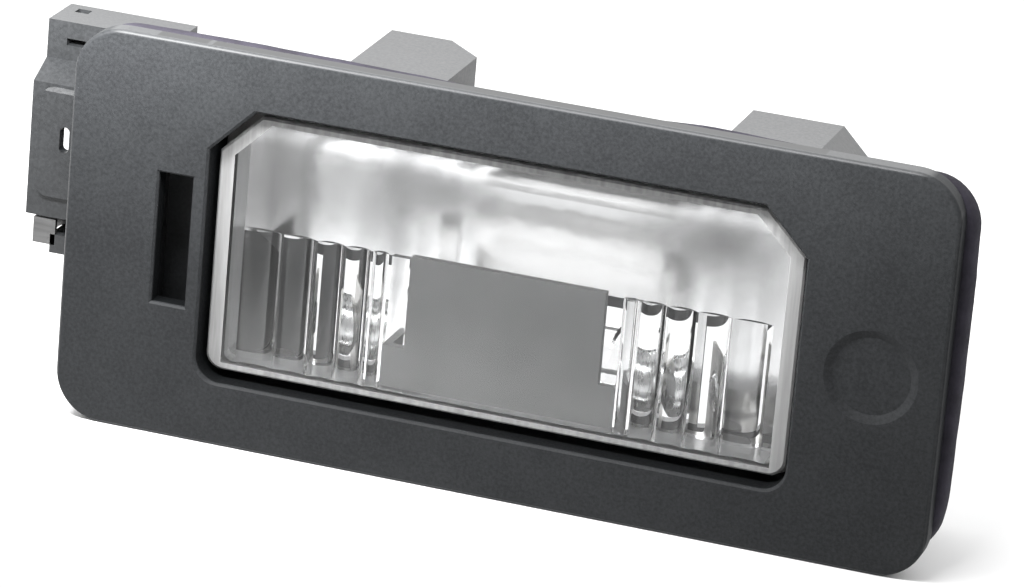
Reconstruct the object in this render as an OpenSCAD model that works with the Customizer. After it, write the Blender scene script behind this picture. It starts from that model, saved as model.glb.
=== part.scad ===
// Number plate lamp: a black frame round a clear lens, with a tubular bulb behind it
// and a plug socket at the left end.
// The lamp's length runs along X, +Z is up and it shines towards -Y.
// The origin is the centre of the seat, where the gasket's back bears on the car's panel.

/* [Bezel] */
// Length of the bezel
bezel_w = 88; // [86:0.5:94]
// Height of the bezel
bezel_h = 40; // [39.5:0.5:44]
// Thickness of the bezel's flange
bezel_t = 2; // [1.6:0.1:2.6]
// Radius of the bezel's corners
bezel_corner_r = 4.8; // [3:0.2:6]
// Rounding of the bezel's front edge
bezel_edge_r = 0.4; // [0.3:0.1:0.8]
// Width of the lead-in round the window and the slot
lead_in = 0.2; // [0.15:0.05:0.4]

/* [Window] */
// Width of the bezel's bands beside the window
band_side = 14.2; // [14:0.2:16]
// Height of the bezel's band above the window
band_top = 5.8; // [5:0.2:7]
// Height of the bezel's band below the window
band_low = 6.3; // [5.5:0.1:7]
// Leg of the chamfers at the window's top corners
window_chamfer = 4.5; // [3:0.25:6]
// Radius of the window's bottom corners
window_corner_r = 2.5; // [2.2:0.1:3.5]
// Wall of the collar behind the window
collar_wall = 1.2; // [0.9:0.1:1.5]
// Depth of the collar behind the flange
collar_depth = 3.1; // [2.6:0.1:3.6]

/* [Slot and recess] */
// Distance between the window and the release slot
slot_gap = 1.4; // [1.3:0.05:1.8]
// Width of the release slot
slot_w = 3.5; // [2.8:0.1:3.6]
// Height of the release slot
slot_h = 13.2; // [10:0.2:16]
// Distance of the round recess's middle from the bezel's right edge
recess_inset = 7; // [6:0.25:8]
// Distance of the round recess below the seat's centre
recess_drop = 0.6; // [0:0.2:4]
// Radius of the round recess
recess_r = 4.6; // [3:0.2:5]
// Depth of the round recess
recess_depth = 0.4; // [0.3:0.1:0.9]
// Width of the sloping side of the round recess
recess_slope = 0.8; // [0.3:0.1:1.5]

/* [Gasket] */
// Thickness of the gasket
gasket_t = 2.5; // [1.5:0.1:3.5]
// Set-back of the gasket's outer edge from the bezel's outer edge, top and bottom
gasket_inset = 0.5; // [0.2:0.1:0.8]
// How far the gasket is pushed past the bezel's right edge
gasket_shift = 0.7; // [0:0.1:1]
// Room between the gasket's hole and the rear housing
gasket_fit = 0.3; // [0.2:0.1:0.5]

/* [Lens] */
// Set-back of the lens behind the bezel's face
lens_recess = 1.8; // [1:0.1:2.2]
// Gap between the lens and the window, top and bottom
lens_gap = 0.9; // [0.5:0.05:1]
// Gap between the lens and the window at the sides
lens_side_gap = 0.55; // [0.4:0.05:0.8]
// Thickness of the lens's face
lens_face_t = 1.6; // [1.2:0.1:2]
// Thickness of the lens's upper and lower walls
lens_wall = 0.7; // [0.6:0.1:1]
// Thickness of the lens's side walls
lens_side_wall = 1.5; // [1.1:0.1:1.7]
// Bevel of the lens's front edge
lens_bevel = 0.2; // [0.1:0.05:0.4]
// Thickness of the lens's flange
lens_flange_t = 1.2; // [0.9:0.1:1.5]
// Rise of the flutes on the lens's inner face
flute_rise = 0.5; // [0.3:0.1:0.7]
// Height of the flutes
flute_h = 13.7; // [12:0.1:16]
// Thickness of the lens seal
seal_t = 0.6; // [0.4:0.1:0.9]

/* [Reflector and light shield] */
// Thickness of the reflector's walls
reflector_t = 0.8; // [0.6:0.1:1]
// Depth of the reflector's trough
trough_depth = 8.6; // [8:0.1:9.5]
// Radius of the trough's upper back corner
trough_r = 7; // [3:0.5:8]
// Height of the trough's lower edge above the bulb's axis
trough_lift = 6.6; // [6.2:0.1:8]
// Width of the light shield's upper part
shield_w = 19.6; // [16:0.4:21]
// Width of the light shield's foot
shield_foot_w = 24; // [23.2:0.2:26]
// Height of the light shield
shield_h = 13.5; // [11:0.1:15]
// Height of the light shield's foot
shield_foot_h = 4.2; // [2.5:0.1:4.5]
// Thickness of the light shield
shield_t = 0.8; // [0.5:0.1:1]

/* [Bulb] */
// Height of the bulb's axis above the rear housing's floor
bulb_rise = 6.1; // [5.7:0.1:6.5]
// Length of the bulb over its caps
bulb_len = 37; // [36:0.25:38]
// Radius of the bulb's glass
glass_r = 4.6; // [4:0.1:4.7]
// Thickness of the bulb's glass
glass_t = 0.6; // [0.4:0.1:0.8]
// Radius of the bulb's caps
cap_r = 3.1; // [2.8:0.1:3.3]
// Length of one cap of the bulb
cap_len = 7.2; // [6.4:0.1:7.4]
// Wall of the caps
cap_t = 0.4; // [0.3:0.05:0.5]
// Length of the filament
filament_len = 9; // [6:0.5:12]
// Radius of the coiled filament
filament_r = 0.4; // [0.3:0.05:0.6]
// Radius of the wires that carry the filament
wire_r = 0.25; // [0.15:0.05:0.3]

/* [Contacts] */
// Thickness of the contact springs
contact_t = 0.4; // [0.3:0.05:0.6]
// Width of the contact springs
contact_w = 5.2; // [4.8:0.1:5.6]
// Length of a contact spring's foot
contact_foot = 6.9; // [6.5:0.1:8]
// Thickness of the terminal strips
strip_t = 0.5; // [0.4:0.05:0.6]
// Width of the terminal strips
strip_w = 2.4; // [2:0.1:2.6]
// Radius of the rivets' shanks
rivet_r = 0.8; // [0.6:0.05:0.9]
// Radius of the rivets' heads
rivet_head_r = 1.3; // [1.1:0.05:1.35]

/* [Rear housing] */
// Wall of the rear housing
wall = 1.2; // [1:0.1:1.4]
// Distance from the housing's right side to the bezel's right edge
housing_lap = 4; // [3.5:0.1:5]
// Depth of the housing's tall front part behind the seat
housing_step = 7; // [6:0.25:8]
// Thickness of the panel that the lamp clips into
panel_gap = 1.5; // [1:0.1:2]
// Length of the fixed hook at the right end
hook_len = 2.6; // [2:0.1:3]
// Thickness of the fixed hook
hook_t = 1.5; // [1:0.1:2]
// Height of the fixed hook
hook_h = 18; // [12:0.5:22]
// Height of the locating blocks above the housing's top
block_rise = 1; // [0.6:0.1:1.6]
// Depth of the left locating block behind the seat
block_depth = 17.3; // [15:0.1:19]

/* [Plug socket] */
// Reach of the plug socket past the housing's left side
socket_reach = 13.3; // [12:0.1:15]
// Depth of the plug socket behind its front face
socket_depth = 9.3; // [9:0.1:11]
// Height of the socket's front above the seat's centre
socket_top = 11.3; // [10.8:0.1:12]
// Depth of the socket's underside below the seat's centre
socket_low = 2.3; // [2:0.1:3]
// Height of the socket's catch arch above the seat's centre
arch_top = 16.8; // [16:0.1:17.5]
// Thickness of the latch spring
latch_t = 0.5; // [0.3:0.05:0.7]
// Width of the latch spring
latch_w = 2.6; // [2:0.1:3]

/* [Hidden] */
$fn = 64;

// Overrun of every cut past the face that it breaks through
over = 0.1;
// Running-out room between pieces that only lie near each other
clear = 0.2;
// Small gap round a piece that passes through another
pass_clear = 0.1;
// Gap between a bulb cap and the glass cemented into it, and round a wire in the glass
glue_gap = 0.05;
// Share of its growth by which a chamfer's leg grows with the outline
chamfer_share = 2 - sqrt(2);

// Planes along Y, from the bezel's face to the back of the lens
flange_back = -gasket_t;
face_y = flange_back - bezel_t;
collar_end = flange_back + collar_depth;
lens_front = face_y + lens_recess;
lens_inner = lens_front + lens_face_t;
flange_y = collar_end + seal_t;
lens_back = flange_y + lens_flange_t;

// Window
window_w = bezel_w - 2 * band_side;
window_top = bezel_h / 2 - band_top;
window_low = bezel_h / 2 - band_low;
window_h = window_top + window_low;
slot_x = window_w / 2 + slot_gap + slot_w / 2;
recess_x = bezel_w / 2 - recess_inset;
window_mid = (window_top - window_low) / 2;
lens_inset = lens_gap + lens_wall;
lens_side_inset = lens_side_gap + lens_side_wall;

// Flutes, whose edges are shares of the lens's half width inside
lens_half = window_w / 2 - lens_side_inset;
flute_edge_shares = [0.425, 0.49, 0.587, 0.692, 0.818, 0.964];
flute_low = -window_low + lens_inset;
flute_top = flute_low + flute_h;
flute_land = 0.2;

// Reflector
trough_back = lens_back + trough_depth;
trough_top = window_top - lens_inset + reflector_t;
trough_half = lens_half + reflector_t;

// Bulb
floor_z = -window_low - collar_wall - clear;
bulb_back_gap = 3.7;
bulb_y = trough_back - bulb_back_gap;
bulb_z = floor_z + bulb_rise;
trough_low = bulb_z + trough_lift;
bulb_half = bulb_len / 2;
cap_inner = bulb_half - cap_len;
cone_len = 2.1;
cone_start = bulb_half - cone_len;
tip_r = 1.4;
bore_r = cap_r - cap_t;
neck_r = bore_r - glue_gap;
neck_depth = 4;
shoulder_len = 1.8;
shoulder_end = cap_inner - clear;

// Light shield
shield_y = lens_inner + flute_rise + clear;
shield_low = flute_low + clear;
shield_top = shield_low + shield_h;
post_w = 1.8;
post_overhang = 0.6;
post_drop = 1.3;
post_top = shield_top - post_drop;

// Rear housing
release_room = 1.4;
housing_low = floor_z - wall;
housing_top = window_top + collar_wall + clear + wall;
rear_top = trough_top + clear + wall;
housing_left = -slot_x - slot_w / 2 - release_room - wall;
housing_right = bezel_w / 2 - housing_lap;
housing_back = trough_back + pass_clear + wall;
housing_corner_r = 3;
access_room = 0.6;
access_half = bulb_half + access_room;
access_low = bulb_z - glass_r - access_room;
access_high = bulb_z + glass_r + access_room;
wing_x = access_half + clear;
wing_low = bulb_z - glass_r;

// Locating blocks on the housing
left_block_x = -19.5;
left_block_w = 10.1;
left_block_cut = 3.9;
left_block_h = 13.8;
right_block_x = 18.9;
right_block_w = 9;
block_setback = 1.6;
block_front = panel_gap + block_setback;
block_top = housing_top + block_rise;
left_block_low = block_top - left_block_h;

// Contacts and strips
tip_reach = 0.7;
contact_x = bulb_half - tip_reach;
contact_y = bulb_y - contact_w / 2;
contact_rise = 4.2;
foot_y = bulb_y - clear;
strip_z = floor_z + strip_t;
foot_z = strip_z + contact_t;
contact_hole_r = tip_r + (cap_r - tip_r) * tip_reach / cone_len + glue_gap;
bend_r = contact_t * 2;
leg_foot_h = 1.2;
rivet_x = contact_x + contact_foot - rivet_head_r - contact_t;
rivet_y = foot_y + strip_w / 2;
rivet_head_t = 0.5;
live_y = bulb_y - clear * 4 - strip_w;
riser_x = housing_left + wall;
strip_bend_r = housing_corner_r - wall + clear * 2;
// Wall that closes the pocket behind the release slot
pocket_wall_y = live_y - clear * 2 - wall;
pocket_margin = 2.4;

// Plug socket
socket_left = housing_left - socket_reach;
socket_front = panel_gap;
socket_back = socket_front + socket_depth;
socket_floor = -socket_low + wall;
socket_roof = socket_top - wall;
cavity_wall = 3.6;
cavity_end = housing_left - cavity_wall;
arch_setback = 3.5;
arch_front = socket_front + arch_setback;
arch_gap = 1.6;
arch_low = socket_top + arch_gap;
blade_w = 2.8;
blade_recess = 4.6;
blade_margin = 1.4;
blade_tip = socket_left + blade_recess;
blade_y = socket_front + socket_depth / 2 - strip_t / 2;
live_blade_z = socket_roof - blade_margin - blade_w;
earth_blade_z = socket_floor + blade_margin;
pad_inset = 1.1;
pad_proud = 0.4;
pad_drop = 0.3;
pad_lift = 2.2;
pad_r = 1.1;
latch_slot_x = 3.2;
latch_slot_w = 1;
latch_slot_h = 2.6;
latch_slot_z = 4.6;
slot_end_r = 0.45;
arch_hole_x = 2;
arch_hole_w = 2;
arch_hole_h = 0.7;
arch_hole_z = 14.4;
rail_h = 1.9;
rail_end = 2.6;
web_inset = 0.6;
rail_drop = 3.7;
rail_low = -socket_low - rail_drop;
latch_inset = 0.8;
latch_x = socket_left + latch_inset;
latch_tab = 2.3;
latch_bend_r = 2;
latch_gap = 0.3;
latch_z = -socket_low - latch_gap - latch_w;
latch_setback = 0.6;
latch_front = socket_front + latch_setback;
latch_back = socket_back - wall;

// A rectangle between two opposite corners
module rect(a, b) {
    translate(a) square(b - a);
}

// A box between two opposite corners
module block(a, b) {
    translate(a) cube(b - a);
}

// A rectangle between two opposite corners, with round corners
module round_rect(a, b, r) {
    rect(a + [r, 0], b - [r, 0]);
    rect(a + [0, r], b - [0, r]);
    for (x = [a.x + r, b.x - r], z = [a.y + r, b.y - r])
        translate([x, z]) circle(r);
}

// Outline in X and Z, extruded backwards from y
module from_front(y, depth) {
    translate([0, y + depth, 0]) rotate([90, 0, 0]) linear_extrude(depth) children();
}

// Outline in Y and Z, extruded to the right from x
module along_x(x, length) {
    translate([x, 0, 0]) rotate([90, 0, 90]) linear_extrude(length) children();
}

// Outline in X and Y, extruded upwards from z
module upwards(z, height) {
    translate([0, 0, z]) linear_extrude(height) children();
}

// The window's outline, grown all round and widened further at its sides
module window_outline(grow, widen = 0) {
    side = window_w / 2 + grow + widen;
    top = window_top + grow;
    low = -window_low - grow;
    leg = window_chamfer + grow * chamfer_share;
    r = window_corner_r + grow;
    polygon([[-side, low + r], [side, low + r], [side, top - leg], [side - leg, top],
        [leg - side, top], [-side, top - leg]]);
    rect([r - side, low], [side - r, low + r]);
    for (m = [-1, 1])
        translate([m * (side - r), low + r]) circle(r);
}

// Cut that flares an opening's front edge, for an outline of this size round this middle
module flare(mid, size) {
    k = lead_in + over;
    translate([mid.x, face_y + lead_in, mid.y])
        rotate([90, 0, 0])
            linear_extrude(k, slices = 1,
                scale = [1 + 2 * k / size.x, 1 + 2 * k / size.y])
                translate(-mid) children();
}

// Section of a plate from its front, with both front edges rounded
module plate_section(width, t, edge) {
    rect([-width / 2, edge], [width / 2, t]);
    rect([edge - width / 2, 0], [width / 2 - edge, t]);
    for (m = [-1, 1])
        translate([m * (width / 2 - edge), edge]) circle(edge);
}

// Plate with round corners and a rounded front edge
module soft_plate(w, h, t, r, edge) {
    translate([0, face_y, 0]) {
        translate([r - w / 2, 0, 0]) rotate([90, 0, 90])
            linear_extrude(w - 2 * r) rotate(-90) mirror([1, 0]) plate_section(h, t, edge);
        translate([0, 0, r - h / 2])
            linear_extrude(h - 2 * r) plate_section(w, t, edge);
        for (x = [r - w / 2, w / 2 - r], z = [r - h / 2, h / 2 - r])
            translate([x, 0, z]) rotate([-90, 0, 0]) rotate_extrude()
                intersection() {
                    plate_section(2 * r, t, edge);
                    rect([0, 0], [r, t]);
                }
    }
}

module slot_outline() {
    rect([-slot_x - slot_w / 2, -slot_h / 2], [slot_w / 2 - slot_x, slot_h / 2]);
}

// Front frame with the window, the release slot and the round recess
module bezel() {
    color("dimgray") difference() {
        union() {
            soft_plate(bezel_w, bezel_h, bezel_t, bezel_corner_r, bezel_edge_r);
            from_front(flange_back, collar_depth) window_outline(collar_wall);
        }
        from_front(face_y - over, bezel_t + collar_depth + 2 * over) window_outline(0);
        flare([0, window_mid], [window_w, window_h]) window_outline(0);
        from_front(face_y - over, bezel_t + 2 * over) slot_outline();
        flare([-slot_x, 0], [slot_w, slot_h]) slot_outline();
        translate([recess_x, face_y - over, -recess_drop]) rotate([-90, 0, 0])
            cylinder(r1 = recess_r + recess_slope * over / recess_depth,
                r2 = recess_r - recess_slope, h = recess_depth + over);
    }
}

module housing_outline(grow, top) {
    round_rect([housing_left - grow, housing_low - grow], [housing_right + grow, top + grow],
        housing_corner_r + grow);
}

// Soft ring between the flange and the panel
module gasket() {
    half_w = bezel_w / 2;
    half_h = bezel_h / 2 - gasket_inset;
    color("black") from_front(flange_back, gasket_t) difference() {
        round_rect([-half_w + gasket_inset, -half_h], [half_w + gasket_shift, half_h],
            bezel_corner_r);
        housing_outline(gasket_fit, housing_top);
    }
}

module lens_outside() {
    window_outline(-lens_gap, lens_gap - lens_side_gap);
}

module lens_inside() {
    window_outline(-lens_inset, lens_inset - lens_side_inset);
}

// Upright ribs on one side of the lens's inner face
module flutes() {
    n = len(flute_edge_shares) - 1;
    root = lens_inner - over;
    for (i = [0 : n - 1]) {
        inner = lens_half * flute_edge_shares[i];
        outer = lens_half * flute_edge_shares[i + 1] - flute_land;
        half = (outer - inner) / 2;
        r = (half * half + flute_rise * flute_rise) / (2 * flute_rise);
        upwards(flute_low - over, flute_top - flute_low + 2 * over) intersection() {
            rect([inner - flute_land, root], [outer + flute_land, lens_inner + 2 * flute_rise]);
            translate([inner + half, lens_inner + flute_rise - r]) circle(r);
        }
    }
}

// Clear tub with a flange at its back
module lens() {
    front_w = window_w - 2 * lens_side_gap;
    front_h = window_h - 2 * lens_gap;
    color("white", 0.4) {
        difference() {
            union() {
                from_front(lens_front + lens_bevel, lens_back - lens_front - lens_bevel)
                    lens_outside();
                translate([0, lens_front + lens_bevel, window_mid]) rotate([90, 0, 0])
                    linear_extrude(lens_bevel, slices = 1,
                        scale = [1 - 2 * lens_bevel / front_w, 1 - 2 * lens_bevel / front_h])
                        translate([0, -window_mid]) lens_outside();
                from_front(flange_y, lens_flange_t) window_outline(collar_wall);
            }
            from_front(lens_inner, lens_back - lens_inner + over) lens_inside();
        }
        flutes();
        mirror([1, 0, 0]) flutes();
    }
}

// Sealing ring between the collar's end and the lens's flange
module lens_seal() {
    color("black") from_front(collar_end, seal_t) difference() {
        window_outline(collar_wall);
        window_outline(clear);
    }
}

// Section of the reflector's trough, set in from its outer faces and run on past its open edges
module trough_section(inset, run) {
    front = lens_back - run;
    low = trough_low - run;
    back = trough_back - inset;
    top = trough_top - inset;
    r = trough_r - inset;
    rect([front, low], [back - r, top]);
    rect([front, low], [back, top - r]);
    intersection() {
        translate([back - r, top - r]) circle(r);
        rect([back - r, top - r], [back, top]);
    }
}

// Bright tray over the bulb, with a wing beside the bulb's right end and two posts that carry
// the light shield
module reflector() {
    side = trough_half - reflector_t;
    post_x = shield_foot_w / 2 - post_w + post_overhang;
    color("silver") {
        from_front(lens_back, reflector_t) difference() {
            window_outline(collar_wall);
            lens_inside();
        }
        difference() {
            along_x(-trough_half, 2 * trough_half) trough_section(0, 0);
            along_x(-side, 2 * side) trough_section(reflector_t, over);
        }
        block([wing_x, trough_back - reflector_t, wing_low],
            [trough_half, trough_back, trough_low]);
        block([side, lens_back, wing_low], [trough_half, trough_back, trough_low]);
        for (m = [0, 1])
            mirror([m, 0, 0])
                block([post_x, lens_back, floor_z + clear],
                    [post_x + post_w, lens_back + reflector_t, post_top]);
    }
}

// Plate in front of the bulb's glass, on two legs that stand on the reflector's posts
module light_shield() {
    half = shield_w / 2;
    foot = shield_foot_w / 2;
    foot_top = shield_low + shield_foot_h;
    color("gray") {
        from_front(shield_y, shield_t) union() {
            rect([-half, shield_low], [half, shield_top]);
            rect([-foot, shield_low], [foot, foot_top]);
        }
        for (m = [0, 1])
            mirror([m, 0, 0])
                block([foot - shield_t, shield_y, shield_low], [foot, lens_back, foot_top]);
    }
}

// Turned shape about the bulb's axis, from an outline of radius and place along X
module turned() {
    translate([0, bulb_y, bulb_z]) rotate([0, 90, 0]) rotate_extrude() children();
}

// Points of one half of the glass's outline, set in by this much
function glass_points(inset) = [[glass_r - inset, shoulder_end - shoulder_len],
    [neck_r - inset, shoulder_end], [neck_r - inset, cap_inner + neck_depth - inset]];

module glass_outline(inset) {
    half = glass_points(inset);
    end = cap_inner + neck_depth - inset;
    polygon(concat([[0, -end]], [for (i = [len(half) - 1 : -1 : 0]) [half[i].x, -half[i].y]],
        half, [[0, end]]));
}

module bulb_glass() {
    color("white", 0.3) turned() difference() {
        glass_outline(0);
        glass_outline(glass_t);
        rect([0, -bulb_half], [wire_r + glue_gap, bulb_half]);
    }
}

module bulb_cap() {
    color("silver") turned()
        polygon([[bore_r, cap_inner], [cap_r, cap_inner], [cap_r, cone_start],
            [tip_r, bulb_half], [0, bulb_half], [0, bulb_half - cap_t],
            [tip_r - cap_t, bulb_half - cap_t], [bore_r, cone_start]]);
}

module bulb_cap_left() {
    mirror([1, 0, 0]) bulb_cap();
}

module bulb_cap_right() {
    bulb_cap();
}

module filament() {
    color("dimgray") turned()
        rect([0, -filament_len / 2], [filament_r, filament_len / 2]);
}

// Wire from the filament's end to the tip of the cap
module lead_wire() {
    color("silver") turned()
        rect([0, filament_len / 2], [wire_r, bulb_half - cap_t]);
}

module lead_wire_left() {
    mirror([1, 0, 0]) lead_wire();
}

module lead_wire_right() {
    lead_wire();
}

// Hole for a rivet, through everything that it holds
module rivet_hole() {
    translate([rivet_x, rivet_y, housing_low - over])
        cylinder(r = rivet_r + glue_gap, h = foot_z - housing_low + 2 * over);
}

// Quarter of a bent strip's ring, for the corner at the left and below this middle
module bend(mid, r, t) {
    intersection() {
        difference() {
            translate(mid) circle(r);
            translate(mid) circle(r - t);
        }
        rect(mid - [r, r], mid);
    }
}

// Angle of spring strip, whose upright takes the cap's cone in its hole
module contact_spring() {
    foot_end = contact_x + contact_foot;
    turn = [contact_x + bend_r, strip_z + bend_r];
    color("goldenrod") difference() {
        from_front(contact_y, contact_w) union() {
            rect([contact_x, turn.y], [contact_x + contact_t, bulb_z + contact_rise]);
            rect([turn.x, strip_z], [foot_end, foot_z]);
            bend(turn, bend_r, contact_t);
        }
        block([contact_x - over, contact_y - over, strip_z - over],
            [foot_end + over, foot_y, foot_z + leg_foot_h]);
        translate([contact_x - over, bulb_y, bulb_z]) rotate([0, 90, 0])
            cylinder(r = contact_hole_r, h = contact_t + 2 * over);
        rivet_hole();
    }
}

module contact_spring_left() {
    mirror([1, 0, 0]) contact_spring();
}

module contact_spring_right() {
    contact_spring();
}

// Strip along the housing's floor and up its left side, with its bend clear of the corner
module strip_run(y, width, end, top) {
    turn = [riser_x + strip_bend_r, floor_z + strip_bend_r];
    from_front(y, width) union() {
        rect([turn.x, floor_z], [end, strip_z]);
        rect([riser_x, turn.y], [riser_x + strip_t, top]);
        bend(turn, strip_bend_r, strip_t);
    }
}

// Blade that runs from the housing's inside to the plug socket's mouth
module blade(z) {
    block([blade_tip, blade_y, z], [riser_x + strip_t, blade_y + strip_t, z + blade_w]);
}

// Strip from the left contact spring to the lower blade
module earth_strip() {
    top = earth_blade_z + blade_w;
    color("peru") difference() {
        union() {
            strip_run(foot_y, strip_w, -contact_x, top);
            block([riser_x, blade_y, earth_blade_z], [riser_x + strip_t, foot_y + strip_w, top]);
            blade(earth_blade_z);
        }
        mirror([1, 0, 0]) rivet_hole();
    }
}

// Strip from the right contact spring, past the bulb, to the upper blade
module live_strip() {
    top = live_blade_z + blade_w;
    end = contact_x + contact_foot;
    color("peru") difference() {
        union() {
            strip_run(live_y, blade_y - clear - live_y, end, top);
            block([contact_x, live_y, floor_z], [end, foot_y + strip_w, strip_z]);
            block([riser_x, live_y, live_blade_z], [riser_x + strip_t, blade_y + strip_t, top]);
            blade(live_blade_z);
        }
        rivet_hole();
    }
}

// Two rivets, each through a contact spring's foot, its strip and the housing's floor
module contact_rivets() {
    color("silver") for (m = [0, 1])
        mirror([m, 0, 0]) translate([rivet_x, rivet_y, 0]) {
            upwards(housing_low, foot_z - housing_low) circle(rivet_r);
            upwards(foot_z, rivet_head_t) circle(rivet_head_r);
            upwards(housing_low - rivet_head_t, rivet_head_t) circle(rivet_head_r);
        }
}

// Plan of the left locating block, with its back right corner cut off
module left_block(inset, back) {
    left = left_block_x + inset;
    right = left_block_x + left_block_w - inset;
    polygon([[left, block_front + inset], [right, block_front + inset],
        [right, back - left_block_cut], [right - left_block_cut, back], [left, back]]);
}

module right_block() {
    end = right_block_x + right_block_w;
    slope = block_top - rear_top + wall;
    polygon([[right_block_x, block_top - slope], [end + slope, block_top - slope],
        [end, block_top], [right_block_x, block_top]]);
}

// Shell with a step at the top, a bulb opening at the back, locating blocks and a hook
module housing_shell() {
    inside_back = trough_back + pass_clear;
    difference() {
        union() {
            from_front(flange_back, housing_step - flange_back) housing_outline(0, housing_top);
            from_front(flange_back, housing_back - flange_back) housing_outline(0, rear_top);
            upwards(rear_top - wall, block_top - rear_top + wall) left_block(0, block_depth);
            intersection() {
                upwards(left_block_low, block_top - left_block_low)
                    left_block(0, block_depth);
                block([left_block_x, housing_back - wall, left_block_low],
                    [left_block_x + left_block_w, block_depth, block_top]);
            }
            from_front(block_front, housing_back - block_front) right_block();
            block([housing_right - wall, panel_gap, -hook_h / 2],
                [housing_right + hook_len, panel_gap + hook_t, hook_h / 2]);
        }
        from_front(flange_back - over, housing_step - wall - flange_back + over)
            housing_outline(-wall, housing_top);
        from_front(flange_back - over, inside_back - flange_back + over)
            housing_outline(-wall, rear_top);
        difference() {
            upwards(left_block_low + wall, block_top - left_block_low - 2 * wall)
                left_block(wall, block_depth + over);
            block([left_block_x, 0, left_block_low],
                [left_block_x + left_block_w, housing_back, block_top]);
        }
        block([-access_half, inside_back - over, access_low],
            [access_half, housing_back + over, access_high]);
        for (z = [earth_blade_z, live_blade_z])
            block([housing_left - over, blade_y - pass_clear, z - pass_clear],
                [housing_left + wall + over, blade_y + strip_t + pass_clear,
                    z + blade_w + pass_clear]);
        rivet_hole();
        mirror([1, 0, 0]) rivet_hole();
    }
}

// Black housing, open at the front, with a wall that closes the slot's pocket
module rear_housing() {
    pocket_half = slot_h / 2 + pocket_margin;
    color("dimgray") {
        housing_shell();
        block([housing_left + wall / 2, pocket_wall_y, -pocket_half],
            [-window_w / 2 - collar_wall - clear, pocket_wall_y + wall, pocket_half]);
    }
}

// Raised field on the socket's front, with a sloping top edge and round left corners
module socket_pad() {
    left = socket_left + pad_inset;
    top = socket_top - pad_drop;
    low = pad_lift - socket_low;
    root = socket_front + pad_proud;
    intersection() {
        from_front(socket_front, pad_proud + over)
            round_rect([left, low], [housing_left + pad_r, top], pad_r);
        along_x(left - over, housing_left - left + over)
            polygon([[socket_front, low - over], [root + over, low - over],
                [root + over, top + over], [root, top], [socket_front, top - pad_proud]]);
    }
}

// Shroud for the car's plug, open to the left, with a catch arch above and a rail below
module plug_socket() {
    slot_left = socket_left + latch_slot_x;
    hole_left = socket_left + arch_hole_x;
    root = socket_front + pad_proud;
    rail_left = socket_left + rail_end;
    rail_back = latch_back - 2 * latch_bend_r;
    color("dimgray") difference() {
        union() {
            along_x(socket_left, socket_reach)
                polygon([[root, -socket_low], [socket_back, -socket_low],
                    [socket_back, arch_top], [arch_front, arch_top], [arch_front, arch_low],
                    [root, socket_top]]);
            socket_pad();
            block([rail_left, latch_front, rail_low],
                [housing_left, rail_back, rail_low + rail_h]);
            block([rail_left + web_inset, rail_back - wall, rail_low],
                [housing_left, rail_back, -socket_low]);
            block([cavity_end, latch_front, rail_low], [housing_left, rail_back, -socket_low]);
        }
        block([socket_left - over, socket_front + wall, socket_floor],
            [cavity_end, socket_back - wall, socket_roof]);
        from_front(socket_front - over, wall + 2 * over)
            round_rect([slot_left, latch_slot_z],
                [slot_left + latch_slot_w, latch_slot_z + latch_slot_h], slot_end_r);
        block([socket_left - over, socket_back - wall - over, socket_floor + wall],
            [slot_left + latch_slot_w, socket_back + over, latch_slot_z + latch_slot_w]);
        block([hole_left, arch_front - over, arch_hole_z],
            [hole_left + arch_hole_w, socket_back + over, arch_hole_z + arch_hole_h]);
        block([hole_left - arch_hole_h, socket_back - 2 * wall, arch_hole_z],
            [hole_left + arch_hole_h, socket_back - wall, arch_top + over]);
        for (z = [earth_blade_z, live_blade_z])
            block([cavity_end - over, blade_y - pass_clear, z - pass_clear],
                [housing_left + over, blade_y + strip_t + pass_clear, z + blade_w + pass_clear]);
    }
}

// Steel strip below the socket, with a hooked front end
module latch_spring() {
    turn = [latch_x + latch_bend_r, latch_back - latch_bend_r];
    color("lightgray") upwards(latch_z, latch_w) union() {
        rect([latch_x, latch_front], [latch_x + latch_tab, latch_front + latch_t]);
        rect([latch_x, latch_front], [latch_x + latch_t, turn.y]);
        rect([turn.x, latch_back - latch_t], [housing_left, latch_back]);
        mirror([0, 1]) bend([turn.x, -turn.y], latch_bend_r, latch_t);
    }
}

bezel();
gasket();
lens();
lens_seal();
reflector();
light_shield();
rear_housing();
bulb_glass();
bulb_cap_left();
bulb_cap_right();
filament();
lead_wire_left();
lead_wire_right();
contact_spring_left();
contact_spring_right();
earth_strip();
live_strip();
contact_rivets();
plug_socket();
latch_spring();
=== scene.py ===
import math

import bmesh
import bpy
from mathutils import Matrix, Vector


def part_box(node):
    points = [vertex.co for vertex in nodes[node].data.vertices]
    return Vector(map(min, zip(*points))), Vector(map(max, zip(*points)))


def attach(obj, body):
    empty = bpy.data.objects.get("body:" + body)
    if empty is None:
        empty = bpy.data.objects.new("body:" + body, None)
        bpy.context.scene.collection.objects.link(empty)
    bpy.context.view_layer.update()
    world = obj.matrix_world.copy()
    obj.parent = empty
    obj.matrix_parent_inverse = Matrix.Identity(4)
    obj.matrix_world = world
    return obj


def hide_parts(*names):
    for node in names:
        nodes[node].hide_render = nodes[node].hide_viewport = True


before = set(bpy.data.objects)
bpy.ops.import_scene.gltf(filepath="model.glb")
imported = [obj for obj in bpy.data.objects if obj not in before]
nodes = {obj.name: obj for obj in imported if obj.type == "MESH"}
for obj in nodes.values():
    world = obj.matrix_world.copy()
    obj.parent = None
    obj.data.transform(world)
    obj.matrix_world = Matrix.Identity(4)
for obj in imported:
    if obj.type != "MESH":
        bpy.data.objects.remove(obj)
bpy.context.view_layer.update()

mm = 0.001
print("frame loaded:", len(nodes), "nodes")

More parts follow.
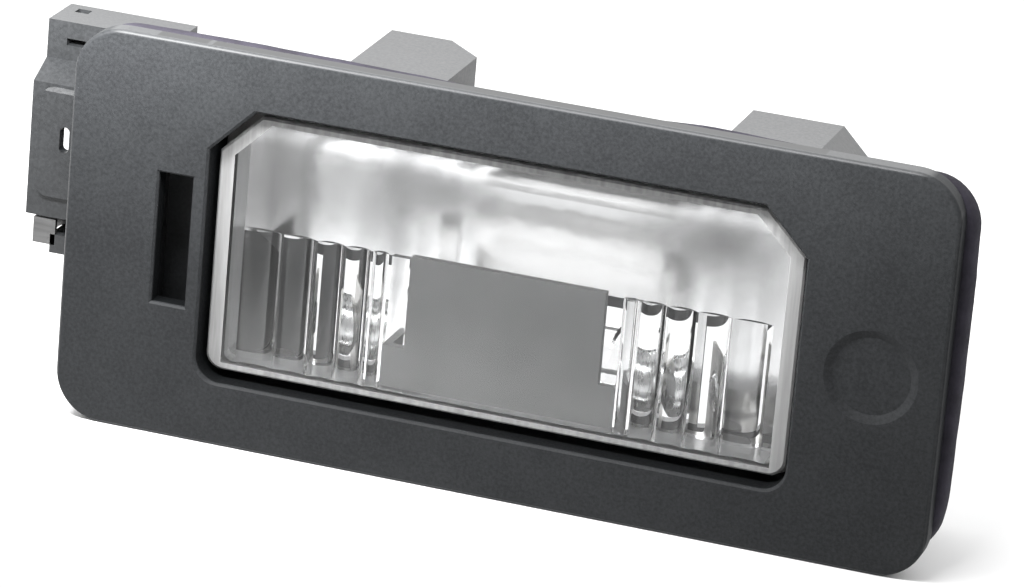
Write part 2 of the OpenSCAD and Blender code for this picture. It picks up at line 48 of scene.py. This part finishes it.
# places of the seat, the face and the floor, read from the frame
bezelLow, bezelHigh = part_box("bezel")
gasketLow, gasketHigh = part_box("gasket")
faceY = bezelLow.y
flangeBackY = gasketLow.y
seatY = gasketHigh.y
floorZ = bezelLow.z


# short helpers for node trees

def startMaterial(name):
    mat = bpy.data.materials.new(name)
    mat.use_nodes = True
    return mat, mat.node_tree, mat.node_tree.nodes["Principled BSDF"]


def link(tree, fromSocket, toSocket):
    tree.links.new(fromSocket, toSocket)


def feed(tree, value, socket):
    # a number or a colour is set, another node's output is linked
    if isinstance(value, bpy.types.NodeSocket):
        link(tree, value, socket)
    elif isinstance(value, tuple):
        socket.default_value = (*value, 1)
    else:
        socket.default_value = value


def objectPoint(tree):
    return tree.nodes.new("ShaderNodeTexCoord").outputs["Object"]


def separate(tree, vector):
    node = tree.nodes.new("ShaderNodeSeparateXYZ")
    link(tree, vector, node.inputs["Vector"])
    return [node.outputs[axis] for axis in "XYZ"]


def stretched(tree, point, scale):
    mapping = tree.nodes.new("ShaderNodeMapping")
    mapping.inputs["Scale"].default_value = scale
    link(tree, point, mapping.inputs["Vector"])
    return mapping.outputs["Vector"]


def noise(tree, point, grainMm, detail=3.0, rough=0.5):
    tex = tree.nodes.new("ShaderNodeTexNoise")
    tex.inputs["Scale"].default_value = 1 / (grainMm * mm)
    tex.inputs["Detail"].default_value = detail
    tex.inputs["Roughness"].default_value = rough
    link(tree, point, tex.inputs["Vector"])
    return tex


def cloud(tree, point, grainMm, detail=3.0, rough=0.5):
    return noise(tree, point, grainMm, detail, rough).outputs["Fac"]


def cells(tree, point, grainMm):
    tex = tree.nodes.new("ShaderNodeTexVoronoi")
    tex.inputs["Scale"].default_value = 1 / (grainMm * mm)
    link(tree, point, tex.inputs["Vector"])
    return tex.outputs["Distance"]


def ramp(tree, fac, dark, light, start=0.0, end=1.0):
    node = tree.nodes.new("ShaderNodeValToRGB")
    for element, place, colour in zip(node.color_ramp.elements, (start, end), (dark, light)):
        element.position = place
        element.color = (*colour, 1)
    link(tree, fac, node.inputs["Fac"])
    return node.outputs["Color"]


def spread(tree, fac, low, high, fromLow=0.3, fromHigh=0.7):
    node = tree.nodes.new("ShaderNodeMapRange")
    node.inputs["From Min"].default_value = fromLow
    node.inputs["From Max"].default_value = fromHigh
    node.inputs["To Min"].default_value = low
    node.inputs["To Max"].default_value = high
    link(tree, fac, node.inputs["Value"])
    return node.outputs["Result"]


def combine(tree, kind, a, b):
    node = tree.nodes.new("ShaderNodeMath")
    node.operation = kind
    for socket, value in zip(node.inputs, (a, b)):
        feed(tree, value, socket)
    return node.outputs["Value"]


def plus(tree, a, b):
    return combine(tree, "ADD", a, b)


def minus(tree, a, b):
    return combine(tree, "SUBTRACT", a, b)


def times(tree, a, b):
    return combine(tree, "MULTIPLY", a, b)


def larger(tree, a, b):
    return combine(tree, "MAXIMUM", a, b)


def absolute(tree, value):
    return combine(tree, "ABSOLUTE", value, 0)


def blend(tree, share, a, b):
    node = tree.nodes.new("ShaderNodeMix")
    link(tree, share, node.inputs["Factor"])
    feed(tree, a, node.inputs["A"])
    feed(tree, b, node.inputs["B"])
    return node.outputs["Result"]


def blendColour(tree, share, a, b):
    node = tree.nodes.new("ShaderNodeMix")
    node.data_type = "RGBA"
    link(tree, share, node.inputs["Factor"])
    feed(tree, a, node.inputs["A"])
    feed(tree, b, node.inputs["B"])
    return node.outputs["Result"]


patchFall = 0.45  # what is left of a patch at its reach


def softPatch(tree, coordinates, middleMm, reachMm, paintedShade):
    # a soft patch of painted shade: 1 far away, and less by the given share in the patch's
    # middle
    squares = []
    for coordinate, middle, reach in zip(coordinates, middleMm, reachMm):
        out = combine(tree, "DIVIDE", minus(tree, coordinate, middle * mm), reach * mm)
        squares.append(times(tree, out, out))
    dark = combine(tree, "POWER", patchFall, plus(tree, *squares))
    return minus(tree, 1.0, times(tree, dark, paintedShade))


def raiseBump(tree, shader, height, depthMm):
    bump = tree.nodes.new("ShaderNodeBump")
    bump.inputs["Distance"].default_value = depthMm * mm
    bump.inputs["Strength"].default_value = 1.0
    link(tree, height, bump.inputs["Height"])
    link(tree, bump.outputs["Normal"], shader.inputs["Normal"])


def grey(level):
    return (level, level, level)


# black moulded plastic: a fine grain on the face, smoother on edges and sides
plasticLook = {
    "dark": (0.0165, 0.0175, 0.0187), "light": (0.0265, 0.028, 0.0298), "tintFrom": 0.38,
    "tintTo": 0.62, "cloudShare": 0.3, "fleckShare": 0.35, "sheenLow": 0.5, "sheenHigh": 0.64,
    "grainMm": 0.35, "fleckMm": 0.17, "grainDepthMm": 0.013, "cloudMm": 7.0, "specular": 0.11,
    # the outer rim, how far in from the outline it fades, and its right end
    "sideSheen": 0.5, "sideSpecular": 0.62, "rim": (0.32, 0.1), "sideHeight": 0.5,
    "endSpecular": 0.06, "endX": (43.6, 43.9),
}
# inside the slot and the window the moulding gets painted shade: a near-black colour behind the
# face
hollowShadeLook = {"colour": (0.004, 0.0045, 0.005), "slot": (-36.0, -30.9), "window": 30.4,
              "depth": 0.5}


def plasticMaterial(name, look, hollowShade=None):
    mat, tree, shader = startMaterial(name)
    point = objectPoint(tree)
    clouds = cloud(tree, point, look["cloudMm"], 4.0, 0.6)
    grain = cloud(tree, point, look["grainMm"], 3.0, 0.65)
    flecks = cells(tree, point, look["fleckMm"])
    tint = plus(tree, times(tree, clouds, look["cloudShare"]),
                times(tree, grain, 1 - look["cloudShare"]))
    colour = ramp(tree, tint, look["dark"], look["light"], look["tintFrom"], look["tintTo"])
    sheen = spread(tree, grain, look["sheenLow"], look["sheenHigh"])
    height = plus(tree, grain, times(tree, flecks, look["fleckShare"]))
    specular = look["specular"]
    if hollowShade:
        # only the bezel has hollows with painted shade and a glossy outer rim
        colour = paintedShadeInside(tree, point, colour, hollowShade)
        x, _, z = separate(tree, point)
        out = larger(tree, minus(tree, absolute(tree, x), bezelHigh.x),
                     minus(tree, absolute(tree, z), bezelHigh.z))
        side = spread(tree, out, 0, 1, *(-inset * mm for inset in look["rim"]))
        end = spread(tree, x, 0, 1, *(place * mm for place in look["endX"]))
        sheen = blend(tree, side, sheen, look["sideSheen"])
        height = blend(tree, side, height, look["sideHeight"])
        shine = blend(tree, end, look["sideSpecular"], look["endSpecular"])
        specular = blend(tree, side, specular, shine)
    feed(tree, specular, shader.inputs["Specular IOR Level"])
    link(tree, colour, shader.inputs["Base Color"])
    link(tree, sheen, shader.inputs["Roughness"])
    raiseBump(tree, shader, height, look["grainDepthMm"])
    return mat


def paintedShadeInside(tree, point, colour, look):
    # painted shade behind the face, within the slot's or the window's reach
    x, y, _ = separate(tree, point)
    deep = combine(tree, "GREATER_THAN", y, faceY + look["depth"] * mm)
    slot = times(tree, combine(tree, "GREATER_THAN", x, look["slot"][0] * mm),
                 combine(tree, "LESS_THAN", x, look["slot"][1] * mm))
    window = combine(tree, "LESS_THAN", absolute(tree, x), look["window"] * mm)
    return blendColour(tree, times(tree, deep, larger(tree, slot, window)), colour,
                       look["colour"])


# soft gasket rubber, slightly violet
rubberLook = {
    "dark": (0.017, 0.0155, 0.021), "light": (0.03, 0.0275, 0.038), "tintFrom": 0.35,
    "tintTo": 0.65, "sheenLow": 0.7, "sheenHigh": 0.9, "grainMm": 0.3, "grainDepthMm": 0.03,
    "cloudMm": 3.0, "specular": 0.18,
}


def rubberMaterial(name, look):
    mat, tree, shader = startMaterial(name)
    point = objectPoint(tree)
    clouds = cloud(tree, point, look["cloudMm"], 3.0, 0.6)
    fine = cloud(tree, point, look["grainMm"], 3.0, 0.6)
    link(tree, ramp(tree, clouds, look["dark"], look["light"], look["tintFrom"], look["tintTo"]),
         shader.inputs["Base Color"])
    link(tree, spread(tree, fine, look["sheenLow"], look["sheenHigh"]),
         shader.inputs["Roughness"])
    shader.inputs["Specular IOR Level"].default_value = look["specular"]
    raiseBump(tree, shader, fine, look["grainDepthMm"])
    return mat


# clear polycarbonate, satin on the tub's walls and their front edge
lensLook = {
    "ior": 1.58, "rough": 0.015, "waveMm": 7.0, "waveDepthMm": 0.008,
    # the satin front edge is painted darker than the walls: painted shade that tones down the
    # key light on it
    "colour": (0.98, 0.985, 0.99), "wallColour": grey(0.42), "edgeColour": grey(0.22),
    "edgeY": -2.45,
    # the tub's inside: half width, top, floor and the sum of X and Z along its chamfers
    "inside": (27.75, 12.6, 12.1, 36.8), "fadeMm": 0.03,
    "satinRough": 0.45, "satinPass": 0.1, "streakMm": 0.6, "streakStretch": (1, 1, 0.06),
    "satinLow": 0.85,
}


def clearMaterial(name, look):
    mat, tree, shader = startMaterial(name)
    point = objectPoint(tree)
    x, y, z = separate(tree, point)
    half, top, low, slope = look["inside"]
    across = absolute(tree, x)
    out = larger(tree, minus(tree, across, half * mm), minus(tree, z, top * mm))
    out = larger(tree, out, minus(tree, -low * mm, z))
    out = larger(tree, out, minus(tree, plus(tree, across, z), slope * mm))
    fade = look["fadeMm"] * mm
    streaks = cloud(tree, stretched(tree, point, look["streakStretch"]), look["streakMm"], 2.0)
    satin = times(tree, spread(tree, out, 0, 1, -fade, fade),
                  spread(tree, streaks, look["satinLow"], 1.0))
    # painted shade: the satin's front edge gets a darker colour than the walls
    edge = combine(tree, "LESS_THAN", y, look["edgeY"] * mm)
    satinColour = ramp(tree, edge, look["wallColour"], look["edgeColour"])
    link(tree, blendColour(tree, satin, look["colour"], satinColour),
         shader.inputs["Base Color"])
    link(tree, blend(tree, satin, 1.0, look["satinPass"]),
         shader.inputs["Transmission Weight"])
    shader.inputs["IOR"].default_value = look["ior"]
    link(tree, blend(tree, satin, look["rough"], look["satinRough"]),
         shader.inputs["Roughness"])
    raiseBump(tree, shader, cloud(tree, point, look["waveMm"], 1.0, 0.4), look["waveDepthMm"])
    return mat


# metallised tray, bright, with soft darker patches of painted reflection and painted shade
coatingLook = {
    "bright": grey(0.98), "paintedShade": grey(0.12), "rough": 0.13, "roughHigh": 0.25,
    "waveMm": 5.0, "waveDepthMm": 0.07, "driftMm": 3.2, "drift": 2.4,
    # place and half size in X and Z, and how dark the painted shade is in the middle of each
    # patch
    "paintedShadePatches": [(-20.0, 3.0, 11.0, 60.0, 0.1), (22.0, 3.0, 7.0, 60.0, 0.2),
                (-29.0, 3.0, 2.6, 40.0, 0.6), (-24.5, 2.5, 3.4, 2.8, 0.3),
                (-18.5, 1.5, 3.2, 3.0, 0.35), (-20.0, 5.0, 3.4, 2.2, 0.25),
                (-14.8, 3.5, 2.4, 8.0, 0.58), (-10.0, 4.8, 4.2, 2.6, 0.72),
                (17.5, 4.8, 5.4, 3.2, 0.8), (14.3, 0.0, 1.3, 2.4, 0.6)],
}


def coatingMaterial(name, look):
    mat, tree, shader = startMaterial(name)
    point = objectPoint(tree)
    shift = tree.nodes.new("ShaderNodeVectorMath")
    shift.operation = "MULTIPLY_ADD"
    link(tree, noise(tree, point, look["driftMm"]).outputs["Color"], shift.inputs[0])
    shift.inputs[1].default_value = (look["drift"] * mm, 0, look["drift"] * mm)
    link(tree, point, shift.inputs[2])
    x, _, z = separate(tree, shift.outputs["Vector"])
    lift = look["drift"] / 2
    paintedLightShare = None
    # painted reflection and painted shade: each patch darkens the coating's colour softly
    for middleX, middleZ, wide, high, paintedShade in look["paintedShadePatches"]:
        fade = softPatch(tree, (x, z), (middleX + lift, middleZ + lift), (wide, high), paintedShade)
        paintedLightShare = fade if paintedLightShare is None else times(tree, fade, paintedLightShare)
    link(tree, ramp(tree, paintedLightShare, look["paintedShade"], look["bright"]), shader.inputs["Base Color"])
    shader.inputs["Metallic"].default_value = 1.0
    link(tree, blend(tree, paintedLightShare, look["roughHigh"], look["rough"]),
         shader.inputs["Roughness"])
    raiseBump(tree, shader, cloud(tree, point, look["waveMm"], 2.0, 0.5), look["waveDepthMm"])
    return mat


# grey shield in front of the bulb, metallised on its back
shieldLook = {"dark": grey(0.148), "light": grey(0.17), "tintFrom": 0.35, "tintTo": 0.65,
              "cloudMm": 6.0, "rough": 0.65, "backRough": 0.16, "back": grey(0.98),
              "backFacing": 0.5, "grainMm": 0.2, "grainDepthMm": 0.002}


def shieldMaterial(name, look):
    mat, tree, shader = startMaterial(name)
    point = objectPoint(tree)
    clouds = cloud(tree, point, look["cloudMm"], 3.0, 0.5)
    facing = separate(tree, tree.nodes.new("ShaderNodeNewGeometry").outputs["Normal"])[1]
    back = combine(tree, "GREATER_THAN", facing, look["backFacing"])
    front = ramp(tree, clouds, look["dark"], look["light"], look["tintFrom"], look["tintTo"])
    link(tree, blendColour(tree, back, front, look["back"]), shader.inputs["Base Color"])
    link(tree, spread(tree, back, look["rough"], look["backRough"], 0, 1),
         shader.inputs["Roughness"])
    link(tree, back, shader.inputs["Metallic"])
    raiseBump(tree, shader, cloud(tree, point, look["grainMm"], 2.0), look["grainDepthMm"])
    return mat


# metals: caps, tinned strips, steel, wire
metalLooks = {
    "cap": {"dark": grey(0.66), "light": grey(0.86), "cloudMm": 1.5, "rough": 0.22,
            "roughHigh": 0.34, "stretch": (4, 1, 1)},
    "tinned": {"dark": (0.46, 0.455, 0.44), "light": (0.68, 0.675, 0.66), "cloudMm": 2.0,
               "rough": 0.3, "roughHigh": 0.48, "stretch": (0.3, 3, 3)},
    "steel": {"dark": grey(0.13), "light": grey(0.2), "cloudMm": 1.5, "rough": 0.4,
              "roughHigh": 0.55, "stretch": (0.3, 3, 3)},
    "wire": {"dark": grey(0.3), "light": grey(0.48), "cloudMm": 0.5, "rough": 0.3,
             "roughHigh": 0.45, "stretch": (0.3, 1, 1)},
}
metalDepthMm = 0.004
metalTint = (0.3, 0.7)  # the part of the clouds that goes from dark to light


def metalMaterial(name, look):
    mat, tree, shader = startMaterial(name)
    point = stretched(tree, objectPoint(tree), look["stretch"])
    clouds = cloud(tree, point, look["cloudMm"], 4.0, 0.6)
    link(tree, ramp(tree, clouds, look["dark"], look["light"], *metalTint),
         shader.inputs["Base Color"])
    link(tree, spread(tree, clouds, look["rough"], look["roughHigh"]),
         shader.inputs["Roughness"])
    shader.inputs["Metallic"].default_value = 1.0
    raiseBump(tree, shader, clouds, metalDepthMm)
    return mat


# thin clear bulb glass
bulbGlassLook = {"colour": grey(0.98), "ior": 1.5, "rough": 0.0, "waveMm": 3.0,
                 "waveDepthMm": 0.01}


def bulbGlassMaterial(name, look):
    mat, tree, shader = startMaterial(name)
    feed(tree, look["colour"], shader.inputs["Base Color"])
    shader.inputs["Transmission Weight"].default_value = 1.0
    shader.inputs["IOR"].default_value = look["ior"]
    shader.inputs["Roughness"].default_value = look["rough"]
    raiseBump(tree, shader, cloud(tree, objectPoint(tree), look["waveMm"], 1.0),
              look["waveDepthMm"])
    return mat


# the housing and the socket are smoother than the bezel's face
rearLook = {**plasticLook, "grainDepthMm": 0.008, "sheenLow": 0.34, "sheenHigh": 0.46,
            "specular": 0.45}

materials = {
    "bezel": plasticMaterial("blackPlastic", plasticLook, hollowShadeLook),
    "rear": plasticMaterial("blackPlasticRear", rearLook),
    "rubber": rubberMaterial("gasketRubber", rubberLook),
    "lens": clearMaterial("clearLens", lensLook),
    "coating": coatingMaterial("brightCoating", coatingLook),
    "shield": shieldMaterial("greyShield", shieldLook),
    "bulbGlass": bulbGlassMaterial("bulbGlass", bulbGlassLook),
    "cap": metalMaterial("capMetal", metalLooks["cap"]),
    "tinned": metalMaterial("tinnedStrip", metalLooks["tinned"]),
    "steel": metalMaterial("springSteel", metalLooks["steel"]),
    "wire": metalMaterial("wireMetal", metalLooks["wire"]),
}
print("materials made:", len(materials))

finishes = {
    "bezel": "bezel", "gasket": "rubber", "lens": "lens", "lens_seal": "rubber",
    "reflector": "coating", "light_shield": "shield", "rear_housing": "rear",
    "bulb_glass": "bulbGlass", "bulb_cap_left": "cap", "bulb_cap_right": "cap",
    "filament": "wire", "lead_wire_left": "wire", "lead_wire_right": "wire",
    "contact_spring_left": "tinned", "contact_spring_right": "tinned", "earth_strip": "tinned",
    "live_strip": "tinned", "contact_rivets": "steel", "plug_socket": "rear",
    "latch_spring": "steel",
}


def finishNode(name, material):
    mesh = nodes[name].data
    mesh.materials.clear()
    mesh.materials.append(material)


for nodeName, finish in finishes.items():
    finishNode(nodeName, materials[finish])
print("finishes given to the frame's nodes")


# soft gasket: a foam ring with a bulging edge that was cut and pushed in by hand
gasketShape = {
    "cornerR": 4.8, "bulge": 0.22, "edgeR": 0.55, "edgeShare": 0.3, "stations": 360,
    # the hole keeps clear of the housing, whose right side, top and corners it follows
    "holeGap": 0.3, "holeRight": 40.0, "holeTop": 16.8, "holeR": 3.3,
    # where along the outline, how wide, how far outwards: sides as x or z in mm
    "topPushes": [(-31.0, 17.0, 0.3), (4.5, 9.5, -0.6), (18.0, 6.0, 0.15), (35.0, 9.0, -0.4)],
    "lowPushes": [(-20.0, 14.0, -0.25), (26.0, 10.0, -0.2), (42.5, 3.0, -0.6)],
    "rightPushes": [(5.0, 17.0, 0.3), (-17.5, 3.2, -0.75), (9.8, 0.8, 0.06)],
    "leftPushes": [(9.0, 6.0, -0.15), (-8.0, 7.0, -0.3)],
    # two ripples round the ring: how many waves, how high, where they start
    "ripples": [(27, 0.015, 0.0), (61, 0.009, 1.3)],
}


def roundedOutline(low, high, radius, count):
    # points and outward normals of a rounded rectangle in X and Z, evenly spaced
    w, h = high[0] - low[0] - 2 * radius, high[1] - low[1] - 2 * radius
    quarter = math.pi * radius / 2
    runs = [w, quarter, h, quarter, w, quarter, h, quarter]
    total = sum(runs)
    corners = [(high[0] - radius, high[1] - radius), (high[0] - radius, low[1] + radius),
               (low[0] + radius, low[1] + radius), (low[0] + radius, high[1] - radius)]
    normals = [(0, 1), (1, 0), (0, -1), (-1, 0)]
    courses = [(1, 0), (0, -1), (-1, 0), (0, 1)]
    points = []
    for i in range(count):
        s = total * i / count
        run = 0
        while s > runs[run]:
            s -= runs[run]
            run += 1
        side = run // 2
        if run % 2 == 0:
            normal, along, start = normals[side], courses[side], corners[side - 1]
            point = (start[0] + normal[0] * radius + along[0] * s,
                     start[1] + normal[1] * radius + along[1] * s)
        else:
            turn = math.pi / 2 - side * math.pi / 2 - s / radius
            normal = (math.cos(turn), math.sin(turn))
            point = (corners[side][0] + normal[0] * radius,
                     corners[side][1] + normal[1] * radius)
        points.append((point, normal))
    return points


def pushed(value, pushes):
    return sum(far * math.exp(-((value - place) / wide) ** 2) for place, wide, far in pushes)


def pushAt(shape, point, normal, walk):
    x, z = point
    push = (max(normal[1], 0) * pushed(x, shape["topPushes"])
            + max(-normal[1], 0) * pushed(x, shape["lowPushes"])
            + max(normal[0], 0) * pushed(z, shape["rightPushes"])
            + max(-normal[0], 0) * pushed(z, shape["leftPushes"]))
    return push + sum(high * math.sin(walk * waves + start)
                      for waves, high, start in shape["ripples"])


def buildGasket(shape):
    low = (gasketLow.x / mm, gasketLow.z / mm)
    high = (gasketHigh.x / mm, gasketHigh.z / mm)
    gap = shape["holeGap"]
    holeLow = (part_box("plug_socket")[1].x / mm - gap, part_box("rear_housing")[0].z / mm - gap)
    holeHigh = (shape["holeRight"] + gap, shape["holeTop"] + gap)
    outer = roundedOutline(low, high, shape["cornerR"], shape["stations"])
    inner = roundedOutline(holeLow, holeHigh, shape["holeR"], shape["stations"])
    front, back, edge = flangeBackY / mm, seatY / mm, shape["edgeR"]
    near = edge * shape["edgeShare"]
    section = [(-edge, front), (-near, front + near), (0, front + edge),
               (shape["bulge"], (front + back) / 2), (0, back - edge), (-near, back - near),
               (-edge, back)]
    rings = []
    for i, ((point, normal), (hole, _)) in enumerate(zip(outer, inner)):
        push = pushAt(shape, point, normal, i / shape["stations"] * 2 * math.pi)
        ring = [(point[0] + normal[0] * (out + push), y, point[1] + normal[1] * (out + push))
                for out, y in section]
        ring += [(hole[0], back, hole[1]), (hole[0], front, hole[1])]
        rings.append([(a * mm, b * mm, c * mm) for a, b, c in ring])
    return closedRings("gasketRing", rings)


def closedRings(name, rings):
    count, sides = len(rings), len(rings[0])
    points = [p for ring in rings for p in ring]
    faces = []
    for i in range(count):
        here, ahead = i * sides, (i + 1) % count * sides
        for j in range(sides):
            k = (j + 1) % sides
            faces.append((here + j, here + k, ahead + k, ahead + j))
    return meshPiece(name, points, faces)


def meshPiece(name, points, faces):
    mesh = bpy.data.meshes.new(name)
    mesh.from_pydata(points, [], faces)
    form = bmesh.new()
    form.from_mesh(mesh)
    bmesh.ops.recalc_face_normals(form, faces=form.faces)
    form.to_mesh(mesh)
    form.free()
    for face in mesh.polygons:
        face.use_smooth = True
    piece = bpy.data.objects.new(name, mesh)
    bpy.context.scene.collection.objects.link(piece)
    return piece


gasket = buildGasket(gasketShape)
gasket.data.materials.append(materials["rubber"])
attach(gasket, "root")
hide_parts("gasket")
print("gasket built")


# filament, wound as a coil between the ends of its lead wires
coilShape = {"turns": 34, "coilR": 0.34, "wireR": 0.055, "perTurn": 14, "around": 6,
             "tail": 0.5, "growShare": 1 / 12, "reach": 0.2}


def tubeAlong(name, path, radius, around):
    rings = []
    for i, point in enumerate(path):
        ahead = path[min(i + 1, len(path) - 1)] - path[max(i - 1, 0)]
        ahead.normalize()
        sideways = ahead.cross(Vector((0, 0, 1)))
        if sideways.length < 0.1:
            sideways = ahead.cross(Vector((0, 1, 0)))
        sideways.normalize()
        upright = sideways.cross(ahead)
        rings.append([point + (sideways * math.cos(2 * math.pi * k / around)
                               + upright * math.sin(2 * math.pi * k / around)) * radius
                      for k in range(around)])
    points = [tuple(p) for ring in rings for p in ring]
    faces = [(i * around + k, i * around + (k + 1) % around,
              (i + 1) * around + (k + 1) % around, (i + 1) * around + k)
             for i in range(len(rings) - 1) for k in range(around)]
    faces.append(tuple(range(around)))
    faces.append(tuple(range(len(points) - around, len(points))))
    return meshPiece(name, points, faces)


def buildCoil(shape):
    low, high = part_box("filament")
    middle = (low + high) / 2
    start, end = low.x + shape["tail"] * mm, high.x - shape["tail"] * mm
    steps = shape["turns"] * shape["perTurn"]
    path = [Vector((low.x - shape["reach"] * mm, middle.y, middle.z))]
    for i in range(steps + 1):
        share = i / steps
        grow = min(1, share / shape["growShare"], (1 - share) / shape["growShare"])
        turn = 2 * math.pi * shape["turns"] * share
        radius = shape["coilR"] * grow * mm
        path.append(Vector((start + (end - start) * share, middle.y + radius * math.cos(turn),
                            middle.z + radius * math.sin(turn))))
    path.append(Vector((high.x + shape["reach"] * mm, middle.y, middle.z)))
    return tubeAlong("filamentCoil", path, shape["wireR"] * mm, shape["around"])


coil = buildCoil(coilShape)
coil.data.materials.append(materials["wire"])
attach(coil, "root")
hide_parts("filament")
print("filament wound:", coilShape["turns"], "turns")


# camera, at the photograph's viewing angle: places in mm, roll in degrees
cameraSetup = {
    "place": (160.0, -535.2, 193.5), "aim": (1.56, -4.5, 1.06), "roll": 5.04,
    "lens": 217.97, "sensor": 36.0,
}


def addCamera(setup):
    data = bpy.data.cameras.new("camera")
    data.lens = setup["lens"]
    data.sensor_width = setup["sensor"]
    camera = bpy.data.objects.new("camera", data)
    bpy.context.scene.collection.objects.link(camera)
    place, aim = Vector(setup["place"]) * mm, Vector(setup["aim"]) * mm
    turn = (aim - place).to_track_quat("-Z", "Y").to_matrix().to_4x4()
    turn = turn @ Matrix.Rotation(math.radians(setup["roll"]), 4, "Z")
    camera.matrix_world = Matrix.Translation(place) @ turn
    bpy.context.scene.camera = camera


addCamera(cameraSetup)


# pale floor with a painted soft shadow in front of the lamp's right end, and soft light
floorSetup = {"size": 6.0, "level": 0.93, "shadeAt": (70, -50), "shadeReach": (90, 50),
              "shade": 0.32, "rough": 0.9, "specular": 0.1}
lightSetup = {
    # the studio's walls and ceiling, brighter behind and on the left
    "front": 0.29, "behind": 3.0, "depthFrom": -0.6, "depthTo": 0.8,
    "leftShare": 0.98, "rightShare": 0.7,
    "areas": [
        {"name": "keyTopLeft", "place": (-50, -27, 42), "aim": (-50, -4, 33), "size": (44, 8),
         "watts": 0.14},
        {"name": "stripTop", "place": (10, -27, 43), "aim": (10, -4, 34), "size": (66, 8),
         "watts": 0.08},
    ],
}


def addFloor(setup):
    half = setup["size"] / 2
    mesh = bpy.data.meshes.new("floor")
    mesh.from_pydata([(-half, -half, floorZ), (half, -half, floorZ), (half, half, floorZ),
                      (-half, half, floorZ)], [], [(0, 1, 2, 3)])
    floor = bpy.data.objects.new("floor", mesh)
    bpy.context.scene.collection.objects.link(floor)
    mat, tree, shader = startMaterial("paleFloor")
    x, y, _ = separate(tree, objectPoint(tree))
    # painted shadow: the floor's colour is darker in a soft patch in front of the lamp's right
    # end
    fade = softPatch(tree, (x, y), setup["shadeAt"], setup["shadeReach"], setup["shade"])
    link(tree, ramp(tree, times(tree, fade, setup["level"]), grey(0), grey(1)),
         shader.inputs["Base Color"])
    shader.inputs["Roughness"].default_value = setup["rough"]
    shader.inputs["Specular IOR Level"].default_value = setup["specular"]
    mesh.materials.append(mat)


def addSky(setup):
    world = bpy.data.worlds.new("softSky")
    bpy.context.scene.world = world
    world.use_nodes = True
    tree = world.node_tree
    x, y, _ = separate(tree, tree.nodes.new("ShaderNodeTexCoord").outputs["Generated"])
    depth = spread(tree, y, setup["front"], setup["behind"], setup["depthFrom"],
                   setup["depthTo"])
    side = spread(tree, x, setup["leftShare"], setup["rightShare"], -1, 1)
    background = tree.nodes["Background"]
    link(tree, times(tree, depth, side), background.inputs["Strength"])
    feed(tree, grey(1), background.inputs["Color"])


def addArea(spec):
    data = bpy.data.lights.new(spec["name"], "AREA")
    data.shape = "RECTANGLE"
    data.size, data.size_y = spec["size"][0] * mm, spec["size"][1] * mm
    data.energy = spec["watts"]
    lamp = bpy.data.objects.new(spec["name"], data)
    bpy.context.scene.collection.objects.link(lamp)
    place, aim = Vector(spec["place"]) * mm, Vector(spec["aim"]) * mm
    lamp.location = place
    lamp.rotation_euler = (aim - place).to_track_quat("-Z", "Y").to_euler()


addFloor(floorSetup)
addSky(lightSetup)
for areaSpec in lightSetup["areas"]:
    addArea(areaSpec)
bpy.context.scene.view_settings.view_transform = "Standard"
print("camera, floor and lights set")
